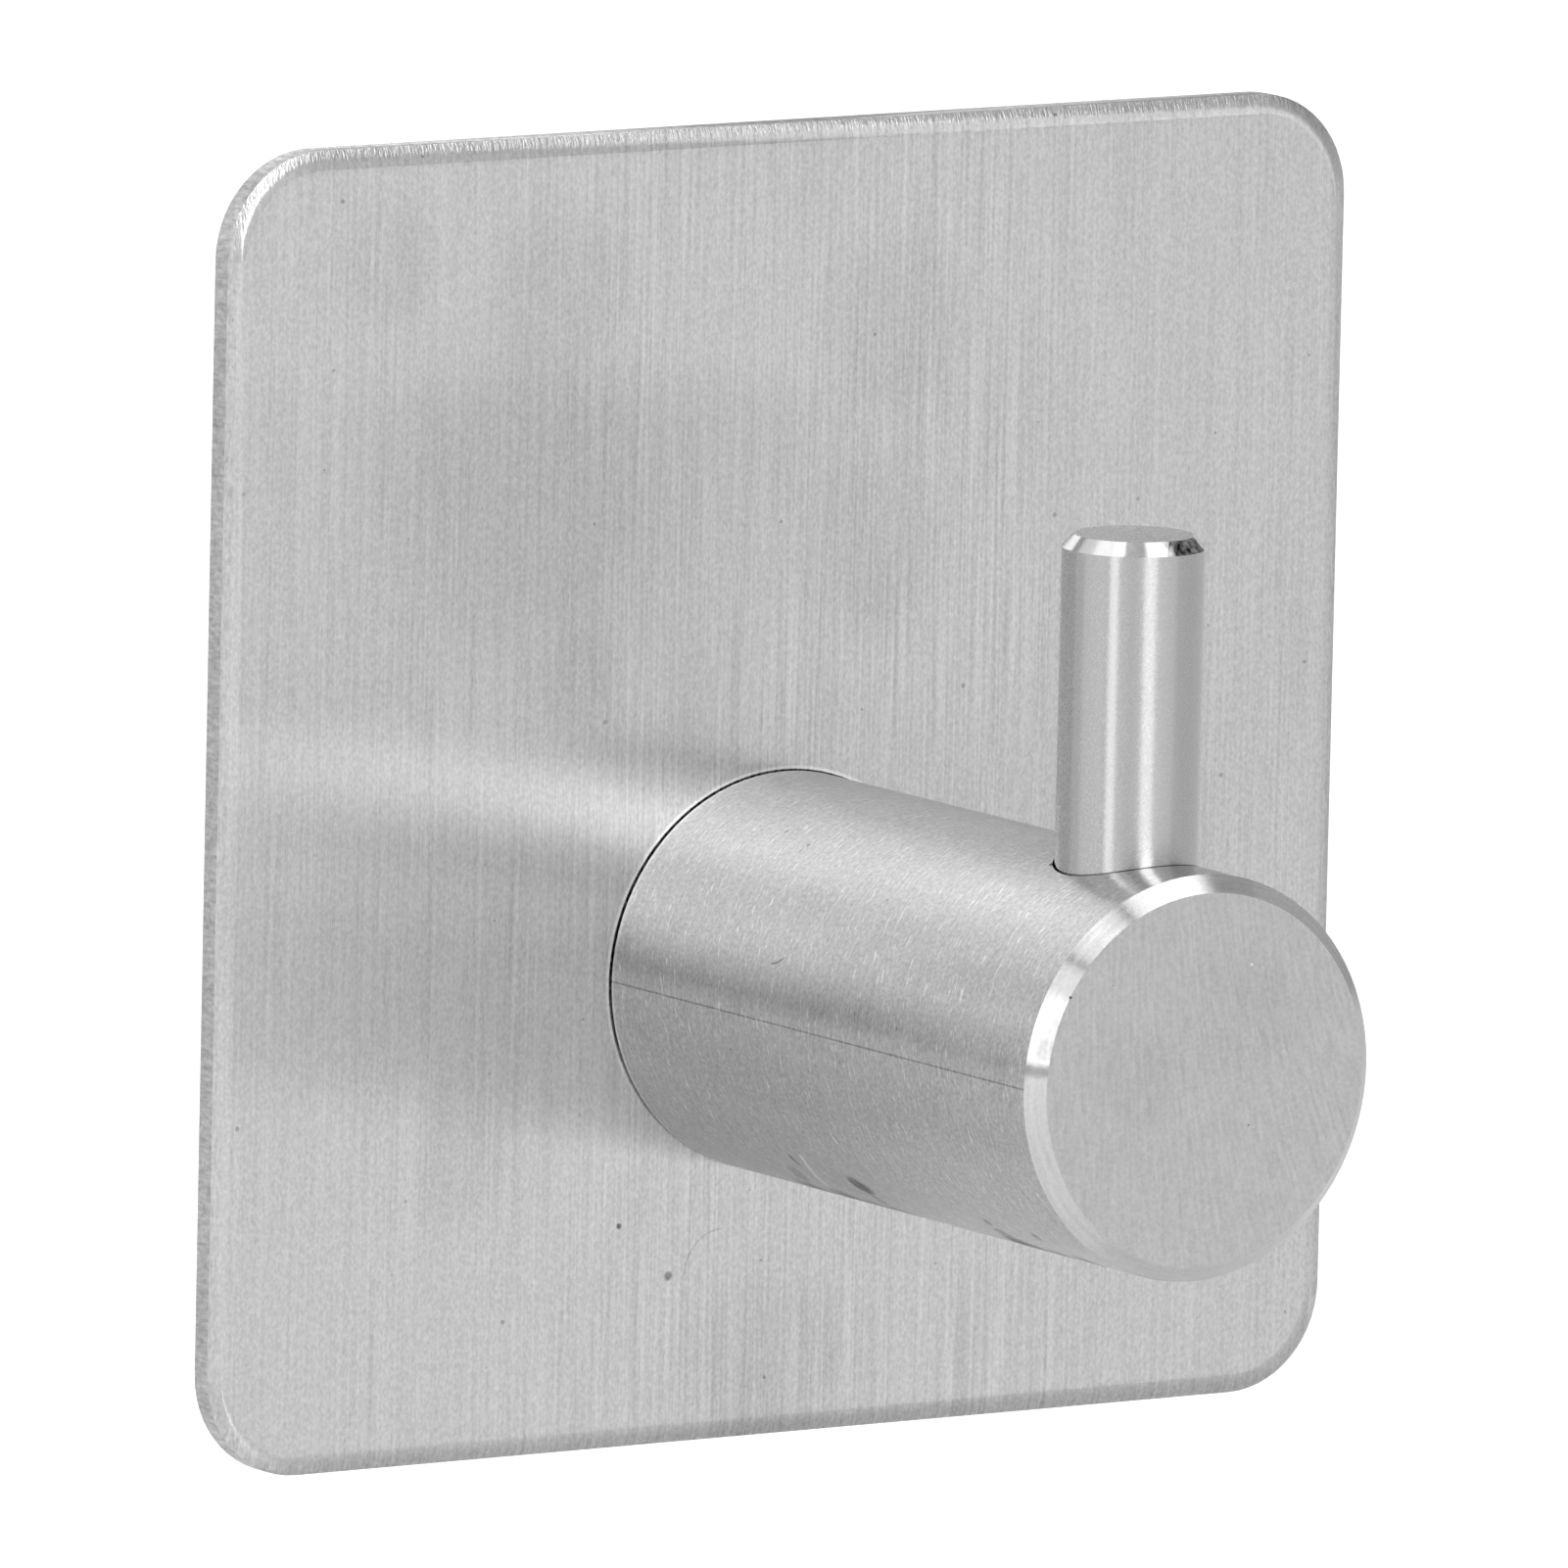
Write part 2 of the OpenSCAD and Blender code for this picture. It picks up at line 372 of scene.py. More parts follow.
def scratch(tree, first, second, start, end, half_width):
    """A mark along the straight line from a start to an end, both (first, second) in mm."""
    length = math.dist(start, end)
    first_share = (end[0] - start[0]) / length
    second_share = (end[1] - start[1]) / length
    ahead = calc(tree, "MULTIPLY", calc(tree, "SUBTRACT", first, start[0]), first_share)
    ahead = calc(tree, "MULTIPLY_ADD", calc(tree, "SUBTRACT", second, start[1]), second_share, ahead)
    ahead = calc(tree, "MINIMUM", calc(tree, "MAXIMUM", ahead, 0.0), length)
    first_place = calc(tree, "MULTIPLY_ADD", ahead, first_share, start[0])
    second_place = calc(tree, "MULTIPLY_ADD", ahead, second_share, start[1])
    return inside(tree, distance_to(tree, first, second, first_place, second_place), half_width)


# %% [markdown]
# A finish adds its lines and marks up. Each has a tone, which is how much it lightens or darkens the
# colour, and some also have a share in the roughness or in the fine relief. Bare metal stretches its
# reflections across its lines, so the shader is told which way they run.

# %% Helpers for finishes
ALONG_X = (1.0, 0.0, 0.0)
ALONG_Y = (0.0, 1.0, 0.0)
ALONG_Z = (0.0, 0.0, 1.0)


def weigh(tree, *pairs, start=0.0):
    """Adds up sockets, each times its own weight, from a starting number."""
    total = start
    for socket, weight in pairs:
        total = calc(tree, "MULTIPLY_ADD", socket, weight, total)
    return total


def paint(tree, shader, colour, tone, rough):
    """Sets the shader's colour, made lighter or darker by a tone, and its roughness."""
    tinted = add_node(tree, "ShaderNodeVectorMath", {0: colour, "Scale": tone}, operation="SCALE")
    tree.links.new(tinted.outputs[0], shader.inputs["Base Color"])
    tree.links.new(rough, shader.inputs["Roughness"])


def press(tree, shader, height, depth):
    """Gives the shader a fine relief, depth in mm."""
    bump = add_node(tree, "ShaderNodeBump", {"Height": height, "Strength": 1.0, "Distance": depth * MM})
    tree.links.new(bump.outputs[0], shader.inputs["Normal"])


def choose_way(tree, mask, off_way, on_way):
    """One direction where a mask is 0 and another where it is 1; inputs 4 and 5 are the node's vectors."""
    ways = {0: mask, 4: off_way, 5: on_way}
    return add_node(tree, "ShaderNodeMix", ways, data_type="VECTOR").outputs[1]


def stretch(tree, shader, amount, way):
    """Makes the shader bare metal whose reflections are stretched by an amount."""
    shader.inputs["Metallic"].default_value = 1.0
    shader.inputs["Anisotropic"].default_value = amount
    tree.links.new(way, shader.inputs["Tangent"])


# %% [markdown]
# ## Brushed plate
# The sheet was brushed up and down before it was stamped out, so each fine scratch is upright. Scratches
# blur a reflection across their own direction: the post's mirror image is smeared sideways into soft
# level bands. An anisotropic metal shader does that, and noise drawn out along the scratches gives the
# visible lines.

# %% Draw the brush lines of the plate
FINE_LINE = (0.13, 2.0, 8.0)
LONG_LINE = (0.25, 2.0, 20.0)
BROAD_LINE = (1.4, 2.0, 40.0)
BRIGHT_LINE = (0.10, 2.0, 9.0)
BRIGHT_LINE_START = 0.17
BRIGHT_LINE_FULL = 0.25
PLATE_GRAIN = (0.11, 0.11, 0.16)
PLATE_CLOUD = (5.0, 5.0, 6.0)

plate_finish, tree, shader = new_finish("brushed_plate")
place = place_in_mm(tree)
across = split(tree, place)
fine_lines = strokes(tree, place, FINE_LINE, PLAIN)
long_lines = strokes(tree, place, LONG_LINE, PLAIN)
broad_lines = strokes(tree, place, BROAD_LINE)
bright_lines = ramp(tree, strokes(tree, place, BRIGHT_LINE, PLAIN), BRIGHT_LINE_START, BRIGHT_LINE_FULL)
grain = strokes(tree, place, PLATE_GRAIN)
clouds = strokes(tree, place, PLATE_CLOUD)
print("brush lines of the plate:", len(tree.nodes), "nodes")

# %% [markdown]
# The brush pressed harder on a band near the middle of the plate, and there its fine lines are stronger.
# Elsewhere its pressure wandered a little from place to place.

# %% Make the fine lines stronger where the brush pressed
PRESSED_MIDDLE = 2.0
PRESSED_HALF_WIDTH = 14.0
PRESSED_MORE = 0.55
PRESSURE_PATCH = (3.0, 3.0, 14.0)
PRESSURE_WANDER = 1.6
PRESSURE = 0.70

off_middle = calc(tree, "ABSOLUTE", calc(tree, "SUBTRACT", across["X"], PRESSED_MIDDLE))
pressed_band = inside(tree, off_middle, PRESSED_HALF_WIDTH)
wander = strokes(tree, place, PRESSURE_PATCH)
pressure = weigh(tree, (pressed_band, PRESSED_MORE), (wander, PRESSURE_WANDER), start=PRESSURE)
fine_lines = overlap(tree, fine_lines, pressure)
print("pressed band in mm:", 2 * PRESSED_HALF_WIDTH)

# %% [markdown]
# The punch bent the front edge over before it cut through. On that rolled edge the brushed skin is
# stretched and crumpled, so it sparkles instead of shining. The cut itself is dull, with short torn marks
# through the sheet. How far the surface turns away from the front, and how far it lies below the face,
# tell the three apart. Along the two level edges, the face and the roll are darkened with painted
# shade.

# %% Part the face, the rolled edge and the cut edge of the plate
ROLL_START = 0.01
ROLL_FULL = 0.09
CUT_FULL = 0.40
CUT_END = 0.70
LEVEL_EDGE_START = 0.90
LEVEL_EDGE_FULL = 0.35
CRUMPLE = (0.09, 0.20, 0.50)
TEAR = (0.14, 0.5, 0.14)

outward = calc(tree, "ABSOLUTE", facing(tree)["Y"])
cut_edge = fade(tree, outward, CUT_FULL, CUT_END)
not_cut = invert(tree, cut_edge)
below_face = calc(tree, "SUBTRACT", across["Y"], post_foot_y)
rolled = overlap(tree, ramp(tree, below_face, ROLL_START, ROLL_FULL), not_cut)
crumpled = overlap(tree, rolled, strokes(tree, place, CRUMPLE, BROKEN))
torn = overlap(tree, cut_edge, strokes(tree, place, TEAR, BROKEN))
# Painted shade: the face and the roll are darker along the top and bottom edges
off_level = calc(tree, "ABSOLUTE", across["Z"])
level_edge = ramp(tree, off_level, plate_half - LEVEL_EDGE_START, plate_half - LEVEL_EDGE_FULL)
level_edge_painted_shade = overlap(tree, level_edge, not_cut)
print("half of the plate's side in mm:", round(plate_half, 3))

# %% [markdown]
# A few marks keep the face from looking computed: two dark specks and a curled hair of a scratch, left
# by handling, and soft darker patches. Tiny pits lie all over the face. A Voronoi texture scatters their
# points, and a chance drawn for each point makes most of the pits too small to see.

# %% Mask the marks on the plate
SPECKS = ((-6.29, -14.87, 0.14), (-4.27, -16.73, 0.21))
HAIR_MIDDLE = (-2.1, -16.75)
HAIR_RADIUS = 1.5
HAIR_HALF_WIDTH = 0.04
DARK_PATCHES = ((-9.5, 16.8, 4.2), (-10.4, 11.0, 8.0), (-16.0, 18.6, 2.8), (3.4, 7.8, 4.2), (4.0, 15.5, 4.0),
           (-8.4, 4.2, 2.4), (-12.8, -12.2, 2.8), (-0.3, -20.0, 4.4))
DARK_PATCH_UNEVEN = 2.0
PIT_SPACING = 3.6
PIT_RARITY = 3.0
PIT_SHARE = 0.024

specks = spots(tree, across["X"], across["Z"], SPECKS)
# Soft darker patches on the face, made uneven by the clouds
dark_patches = spots(tree, across["X"], across["Z"], DARK_PATCHES)
dark_patches = overlap(tree, dark_patches, weigh(tree, (clouds, DARK_PATCH_UNEVEN), start=1.0))
off_hair = calc(tree, "SUBTRACT", distance_to(tree, across["X"], across["Z"], *HAIR_MIDDLE), HAIR_RADIUS)
left_of_hair = calc(tree, "LESS_THAN", across["X"], HAIR_MIDDLE[0])
above_hair = calc(tree, "GREATER_THAN", across["Z"], HAIR_MIDDLE[1])
hair = inside(tree, calc(tree, "ABSOLUTE", off_hair), HAIR_HALF_WIDTH)
hair = overlap(tree, hair, overlap(tree, left_of_hair, above_hair))

flat_place = add_node(tree, "ShaderNodeCombineXYZ", {0: across["X"], 1: across["Z"]}).outputs[0]
pit_points = add_node(tree, "ShaderNodeTexVoronoi", {"Vector": flat_place, "Scale": 1 / PIT_SPACING},
                      voronoi_dimensions="2D").outputs
pit_chance = calc(tree, "POWER", split(tree, pit_points["Color"])["X"], PIT_RARITY)
pits = calc(tree, "LESS_THAN", pit_points["Distance"], overlap(tree, pit_chance, PIT_SHARE))
print("marks on the plate:", len(SPECKS) + len(DARK_PATCHES) + 1, "and pits")

# %% [markdown]
# The joint at the post's foot is a black hairline, and beside it a painted reflection of the foot's
# broken edge is a bright one. Both are much thinner than the brushing can mirror cleanly, so they are laid
# on the plate as two rings, measured from the post's own radius. They fade out below as painted shade,
# where the post shades them.

# %% Ring the post's foot on the plate
FOOT_REFLECTION_WIDTH = 0.22
FOOT_JOINT_CORE = 0.042
FOOT_JOINT_WIDTH = 0.07
FOOT_LIT_LOW = -6.0
FOOT_LIT_HIGH = 1.0

from_post_axis = distance_to(tree, across["X"], across["Z"], 0.0, post_axis_z)
off_foot = calc(tree, "SUBTRACT", from_post_axis, post_radius)
foot_height = calc(tree, "SUBTRACT", across["Z"], post_axis_z)
foot_lit = ramp(tree, foot_height, FOOT_LIT_LOW, FOOT_LIT_HIGH)
# Painted reflection of the foot's broken edge, faded below as painted shade
foot_painted_reflection = overlap(tree, inside(tree, off_foot, FOOT_REFLECTION_WIDTH), foot_lit)
foot_joint = overlap(tree, fade(tree, off_foot, FOOT_JOINT_CORE, FOOT_JOINT_WIDTH), foot_lit)
print("foot ring in mm:", FOOT_REFLECTION_WIDTH, "joint:", FOOT_JOINT_WIDTH)

# %% [markdown]
# All of it comes together in one metal shader. The direction of the stretched reflections runs round the
# plate's upright axis, which is sideways on its face.

# %% Make the brushed finish of the plate
PLATE_COLOUR = (0.63, 0.63, 0.63)
PLATE_ROUGHNESS = 0.28
PLATE_STRETCH = 1.0
PLATE_RELIEF = 0.0010
FINE_LINE_TONE = 0.42
LONG_LINE_TONE = 0.20
BROAD_LINE_TONE = 0.06
BRIGHT_LINE_TONE = 0.08
PLATE_GRAIN_TONE = 0.55
PLATE_CLOUD_TONE = 0.06
PIT_TONE = -0.35
ROLL_TONE = -0.02
# Painted shade along the top and bottom edges
LEVEL_EDGE_SHADE_TONE = -0.11
CRUMPLE_TONE = 0.45
TEAR_TONE = 1.0
SPECK_TONE = -0.65
HAIR_TONE = -0.20
DARK_PATCH_TONE = -0.075
# Painted reflection beside the post's foot
FOOT_REFLECTION_TONE = 0.5
FOOT_JOINT_TONE = -1.4
LONG_LINE_ROUGH = 0.10
PLATE_CLOUD_ROUGH = 0.08
ROLL_ROUGH = 0.03
CUT_ROUGH = 0.20
LONG_LINE_RELIEF = 0.8
CRUMPLE_RELIEF = 34.0
TEAR_RELIEF = 20.0

tone = weigh(tree, (fine_lines, FINE_LINE_TONE), (long_lines, LONG_LINE_TONE),
             (broad_lines, BROAD_LINE_TONE), (bright_lines, BRIGHT_LINE_TONE), (grain, PLATE_GRAIN_TONE),
             (clouds, PLATE_CLOUD_TONE), (pits, PIT_TONE), (rolled, ROLL_TONE),
             (level_edge_painted_shade, LEVEL_EDGE_SHADE_TONE), (crumpled, CRUMPLE_TONE), (torn, TEAR_TONE),
             (specks, SPECK_TONE), (hair, HAIR_TONE), (dark_patches, DARK_PATCH_TONE),
             (foot_painted_reflection, FOOT_REFLECTION_TONE), (foot_joint, FOOT_JOINT_TONE), start=1.0)
rough = weigh(tree, (long_lines, LONG_LINE_ROUGH), (clouds, PLATE_CLOUD_ROUGH), (rolled, ROLL_ROUGH),
              (cut_edge, CUT_ROUGH), start=PLATE_ROUGHNESS)
paint(tree, shader, PLATE_COLOUR, tone, rough)
sideways = add_node(tree, "ShaderNodeTangent", direction_type="RADIAL", axis="Z").outputs[0]
stretch(tree, shader, PLATE_STRETCH, sideways)
relief = weigh(tree, (crumpled, CRUMPLE_RELIEF), (torn, TEAR_RELIEF), (fine_lines, 1.0),
               (long_lines, LONG_LINE_RELIEF))
press(tree, shader, relief, PLATE_RELIEF)
nodes["back_plate"].material_slots[0].material = plate_finish
print("plate finish:", len(tree.nodes), "nodes")

# %% [markdown]
# ## Turned post
# The post is bar stock, faced and polished with cloth while it turned, so its fine lines run round it.
# The lathe left its front bevel brighter and smoother than the barrel. The front disc was brushed on a
# flat belt. How far the surface faces forward parts the three.

# %% Part the barrel, the bevel and the disc of the post
FLAT_START = 0.90
FLAT_FULL = 0.97
BEVEL_START = 0.25
BEVEL_FULL = 0.45

post_finish, tree, shader = new_finish("turned_post")
place = place_in_mm(tree)
across = split(tree, place)
forward = calc(tree, "MULTIPLY", facing(tree)["Y"], -1.0)
disc = ramp(tree, forward, FLAT_START, FLAT_FULL)
not_disc = invert(tree, disc)
bevel = overlap(tree, ramp(tree, forward, BEVEL_START, BEVEL_FULL), not_disc)
barrel = calc(tree, "SUBTRACT", not_disc, bevel)
print("parts of the post:", len(tree.nodes), "nodes")

# %% [markdown]
# A fine dark line runs along the barrel. A thin black gap shows all round the foot, where the post meets
# the plate, beside a painted highlight for the foot's broken edge, and a finer gap shows round the pin,
# widest on its left. Each is a distance in millimetres turned into a mask, so it keeps its real width.

# %% Mask the dark lines of the post
AXIAL_LINE_HEIGHT = 0.08
AXIAL_LINE_HALF_WIDTH = 0.045
FOOT_GAP_START = 0.104
FOOT_GAP_FULL = 0.056
FOOT_HIGHLIGHT_START = 0.30
FOOT_HIGHLIGHT_FULL = 0.175
PIN_GAP = 0.03
NICK_PLACE = (-2.07, -21.58)
NICK_CORE = 0.085
NICK_SIZE = 0.17

# A fine dark line along the left of the barrel, a little above its axis
off_line = calc(tree, "ABSOLUTE", calc(tree, "SUBTRACT", across["Z"], post_axis_z + AXIAL_LINE_HEIGHT))
left_side = calc(tree, "LESS_THAN", across["X"], 0.0)
axial_dark_line = overlap(tree, inside(tree, off_line, AXIAL_LINE_HALF_WIDTH), left_side)
axial_dark_line = overlap(tree, axial_dark_line, barrel)
foot_gap = ramp(tree, across["Y"], post_foot_y - FOOT_GAP_START, post_foot_y - FOOT_GAP_FULL)
# Painted highlight: a bright band just in front of the foot's gap
foot_painted_highlight = ramp(tree, across["Y"], post_foot_y - FOOT_HIGHLIGHT_START, post_foot_y - FOOT_HIGHLIGHT_FULL)
from_pin = distance_to(tree, across["X"], across["Y"], 0.0, pin_axis_y)
pin_gap = fade(tree, from_pin, pin_radius + PIN_GAP * RIM_START, pin_radius + PIN_GAP)
from_nick = distance_to(tree, across["X"], across["Y"], *NICK_PLACE)
nick = fade(tree, from_nick, NICK_CORE, NICK_SIZE)
pin_gap = overlap(tree, calc(tree, "MAXIMUM", pin_gap, nick), barrel)
gaps = calc(tree, "MAXIMUM", foot_gap, pin_gap)
print("gap round the pin in mm:", PIN_GAP)

# %% [markdown]
# The barrel also has marks of use: dark scuffs and two scratches under it, painted bright as glints, a
# short hair, and a few specks. They are placed by how far along the post they lie and how far round, so
# they hold their shape on the curve. The disc has two soft smudges, and its rim is worn at one place on
# the left.

# %% Mask the marks on the post
# Start and end (along the post, round it), half width and darkness
SCUFFS = (
    ((-13.55, -6.16), (-13.71, -6.30), 0.62, 0.75),
    ((-13.62, -7.05), (-13.60, -7.30), 0.34, 0.40),
    ((-9.30, -6.50), (-9.10, -6.90), 0.50, 0.28),
    ((-10.22, -5.43), (-10.25, -5.69), 0.20, 0.40),
    ((-14.46, -3.57), (-14.63, -3.82), 0.08, 0.30),
    ((-21.20, -6.35), (-21.16, -6.45), 0.26, 0.45),
    ((-21.27, -7.10), (-21.35, -7.25), 0.50, 0.45),
    ((-21.35, -7.40), (-21.30, -7.70), 0.42, 0.45),
    ((-24.00, -6.45), (-23.95, -6.57), 0.26, 0.45),
    ((-8.40, -8.30), (-8.50, -8.30), 1.20, 0.55),
    ((-10.50, -8.30), (-10.60, -8.30), 1.15, 0.65),
    ((-12.05, -8.40), (-12.15, -8.40), 0.95, 0.50),
    ((-13.45, -8.40), (-13.55, -8.40), 0.95, 0.50),
    ((-21.25, -8.25), (-21.35, -8.25), 1.20, 0.85),
    ((-22.10, -8.40), (-22.20, -8.40), 0.95, 0.60),
    ((-23.35, -8.40), (-23.45, -8.40), 0.95, 0.45),
    ((-24.90, -8.40), (-25.00, -8.40), 0.95, 0.55),
    ((-11.40, 2.05), (-11.75, 2.12), 0.05, 0.48),
    ((-11.70, 2.12), (-12.05, 2.34), 0.05, 0.48),
)
GLINT_SCRATCHES = (((-11.09, -5.19), (-10.41, -7.15), 0.15), ((-14.35, -3.54), (-14.52, -3.88), 0.08))
POST_SPECKS = ((-7.7, 6.93, 0.12), (-9.5, 6.58, 0.10), (-9.3, -1.2, 0.09), (-16.0, 5.2, 0.08),
               (-19.5, 1.0, 0.08))
POST_SPECK_DARKNESS = 0.48
FLECKS = ((-2.4, 7.41, 0.12),)
DISC_SMUDGES = ((-2.7, 0.2, 2.4), (1.6, 2.2, 2.8))
WORN_EDGE = ((-5.95, 2.35), (-6.36, 1.25), 0.24)

height = calc(tree, "SUBTRACT", across["Z"], post_axis_z)
turn = calc(tree, "ARCTAN2", height, calc(tree, "MULTIPLY", across["X"], -1.0))
round_post = calc(tree, "MULTIPLY", turn, post_radius)
scuffs = overlap(tree, spots(tree, across["Y"], round_post, POST_SPECKS), POST_SPECK_DARKNESS)
for start, end, half_width, darkness in SCUFFS:
    scuff = overlap(tree, scratch(tree, across["Y"], round_post, start, end, half_width), darkness)
    scuffs = calc(tree, "MAXIMUM", scuffs, scuff)
scuffs = overlap(tree, scuffs, barrel)
# Two scratches with painted highlights: bright glints along them
scratch_glints = 0.0
for start, end, half_width in GLINT_SCRATCHES:
    scratch_glint = scratch(tree, across["Y"], round_post, start, end, half_width)
    scratch_glints = calc(tree, "MAXIMUM", scratch_glints, scratch_glint)
scratch_glints = overlap(tree, scratch_glints, barrel)
flecks = spots(tree, across["Y"], round_post, FLECKS)
disc_smudges = overlap(tree, spots(tree, across["X"], height, DISC_SMUDGES), disc)
worn_edge = overlap(tree, scratch(tree, across["X"], height, *WORN_EDGE), bevel)
print("marks on the barrel:", len(SCUFFS) + len(GLINT_SCRATCHES) + len(POST_SPECKS) + len(FLECKS))

# %% [markdown]
# The polishing lines run round the barrel, with short bright ticks, leaning a little, where a coarser
# grit slipped. The belt's lines on the disc are upright, lean, and bend slightly from side to side. Rare
# small dings, some bright and some dark, lie all over, and their points are scattered as the plate's pits
# are.

# %% Draw the turned and belted lines of the post
TURNED_LINE = (1.6, 0.11, 1.6)
TICK = (0.6, 0.08, 0.6)
TICK_LEAN = math.radians(14.0)
TICK_START = 0.15
TICK_FULL = 0.22
BELT_LINE = (0.15, 1.0, 1.5)
BELT_LEAN = math.radians(9.0)
BELT_CURVE = math.radians(1.8)
POST_GRAIN = (0.13, 0.13, 0.13)
POST_CLOUD = (1.6, 1.6, 1.6)
DING_SPACING = 0.9
DING_RARITY = 4.0
DING_SHARE = 0.07
DING_MIDDLE = 0.65

turned = overlap(tree, strokes(tree, place, TURNED_LINE), not_disc)
slipped_place = add_node(tree, "ShaderNodeVectorRotate", {"Vector": place, "Angle": TICK_LEAN},
                         rotation_type="X_AXIS").outputs[0]
ticks = overlap(tree, ramp(tree, strokes(tree, slipped_place, TICK, PLAIN), TICK_START, TICK_FULL), barrel)
off_axis = add_node(tree, "ShaderNodeVectorMath", {0: place, 1: (0.0, 0.0, post_axis_z)},
                    operation="SUBTRACT").outputs[0]
lean = calc(tree, "MULTIPLY_ADD", across["X"], BELT_CURVE, BELT_LEAN)
belt_place = add_node(tree, "ShaderNodeVectorRotate", {"Vector": off_axis, "Angle": lean},
                      rotation_type="Y_AXIS").outputs[0]
belted = overlap(tree, strokes(tree, belt_place, BELT_LINE), disc)
lines = calc(tree, "ADD", turned, belted)
grain = strokes(tree, place, POST_GRAIN, PLAIN)
clouds = strokes(tree, place, POST_CLOUD)

ding_points = add_node(tree, "ShaderNodeTexVoronoi", {"Vector": place, "Scale": 1 / DING_SPACING}).outputs
ding_draw = split(tree, ding_points["Color"])
ding_chance = calc(tree, "POWER", ding_draw["X"], DING_RARITY)
dings = calc(tree, "LESS_THAN", ding_points["Distance"], overlap(tree, ding_chance, DING_SHARE))
dings = overlap(tree, dings, calc(tree, "SUBTRACT", ding_draw["Y"], DING_MIDDLE))
print("lines of the post:", len(tree.nodes), "nodes")

# %% [markdown]
# The gaps multiply everything else, so that they stay black whatever lies on them. The reflections
# stretch along the post on its barrel, across the turned lines, and sideways on the disc, across the
# belt's lines.

# %% Make the turned finish of the post
BARREL_COLOUR = (0.55, 0.55, 0.55)
POST_ROUGHNESS = 0.30
POST_STRETCH = 0.85
POST_RELIEF = 0.0010
BARREL_GRAIN_TONE = 0.70
DISC_LESS_GRAIN = -0.38
BEVEL_LESS_GRAIN = -0.45
POST_LINE_TONE = 0.38
POST_CLOUD_TONE = 0.10
TICK_TONE = 0.46
DING_TONE = 1.3
DISC_TONE = -0.015
BEVEL_TONE = 0.22
AXIAL_LINE_TONE = -0.42
SCUFF_TONE = -1.0
# Painted highlight of the scratch glints
SCRATCH_GLINT_TONE = 0.45
FLECK_TONE = 0.35
# Painted highlight at the post's foot
FOOT_HIGHLIGHT_TONE = 0.25
DISC_SMUDGE_TONE = -0.05
WORN_EDGE_TONE = -0.25
GAP_TONE = -0.93
POST_CLOUD_ROUGH = 0.06
POST_LINE_ROUGH = 0.08
BEVEL_ROUGH = -0.14
BEVEL_GRAIN_RELIEF = 0.8

grain_tone = weigh(tree, (disc, DISC_LESS_GRAIN), (bevel, BEVEL_LESS_GRAIN), start=BARREL_GRAIN_TONE)
tone = weigh(tree, (grain, grain_tone), (lines, POST_LINE_TONE), (clouds, POST_CLOUD_TONE),
             (ticks, TICK_TONE), (dings, DING_TONE), (disc, DISC_TONE), (bevel, BEVEL_TONE),
             (axial_dark_line, AXIAL_LINE_TONE), (scuffs, SCUFF_TONE), (scratch_glints, SCRATCH_GLINT_TONE),
             (flecks, FLECK_TONE), (foot_painted_highlight, FOOT_HIGHLIGHT_TONE), (disc_smudges, DISC_SMUDGE_TONE),
             (worn_edge, WORN_EDGE_TONE), start=1.0)
tone = overlap(tree, tone, weigh(tree, (gaps, GAP_TONE), start=1.0))
rough = weigh(tree, (clouds, POST_CLOUD_ROUGH), (lines, POST_LINE_ROUGH), (bevel, BEVEL_ROUGH),
              start=POST_ROUGHNESS)
paint(tree, shader, BARREL_COLOUR, tone, rough)
stretch(tree, shader, POST_STRETCH, choose_way(tree, disc, ALONG_Y, ALONG_X))
relief = weigh(tree, (lines, 1.0), (overlap(tree, bevel, grain), BEVEL_GRAIN_RELIEF))
press(tree, shader, relief, POST_RELIEF)
nodes["post"].material_slots[0].material = post_finish
print("post finish:", len(tree.nodes), "nodes")

# %% [markdown]
# ## Ground pin
# The pin is ground rod: almost a mirror round its girth and blurred along its length, so each lamp shows
# as one sharp upright streak. Its lines are too fine to see one by one, and only a faint grain is left.
# Its bevel is smoother still, and painted shade darkens it on the side that faces right, as a dark
# reflection. The dark line at its foot is the edge of the hole that it is pressed into.

# %% Mask the top, the bevel and the foot of the pin
PIN_FOOT_GAP = 0.035
DARK_SIDE_BEARING = math.radians(28.0)
DARK_SIDE_START = 0.60
DARK_SIDE_FULL = 0.72
DARK_SIDE_BLOT = (0.25, 0.25, 0.25)
DARK_SIDE_UNEVEN = 2.4
DARK_SIDE_STRENGTH = 0.9

pin_finish, tree, shader = new_finish("ground_pin")
place = place_in_mm(tree)
across = split(tree, place)
faces = facing(tree)
top = ramp(tree, faces["Z"], FLAT_START, FLAT_FULL)
bevel = overlap(tree, ramp(tree, faces["Z"], BEVEL_START, BEVEL_FULL), invert(tree, top))
from_axis = distance_to(tree, across["X"], across["Z"], 0.0, post_axis_z)
foot = fade(tree, from_axis, post_radius + PIN_FOOT_GAP * RIM_START, post_radius + PIN_FOOT_GAP)
# Painted shade: the bevel is darker on the side that faces right
toward_dark_side = weigh(tree, (faces["X"], math.sin(DARK_SIDE_BEARING)), (faces["Y"], -math.cos(DARK_SIDE_BEARING)))
painted_dark_side = overlap(tree, ramp(tree, toward_dark_side, DARK_SIDE_START, DARK_SIDE_FULL), bevel)
blots = strokes(tree, place, DARK_SIDE_BLOT)
painted_dark_side = overlap(tree, painted_dark_side, weigh(tree, (blots, DARK_SIDE_UNEVEN), start=DARK_SIDE_STRENGTH))
print("pin radius in mm:", round(pin_radius, 3))

# %% [markdown]
# The reflections stretch along the pin on its sides, and sideways on its flat top.

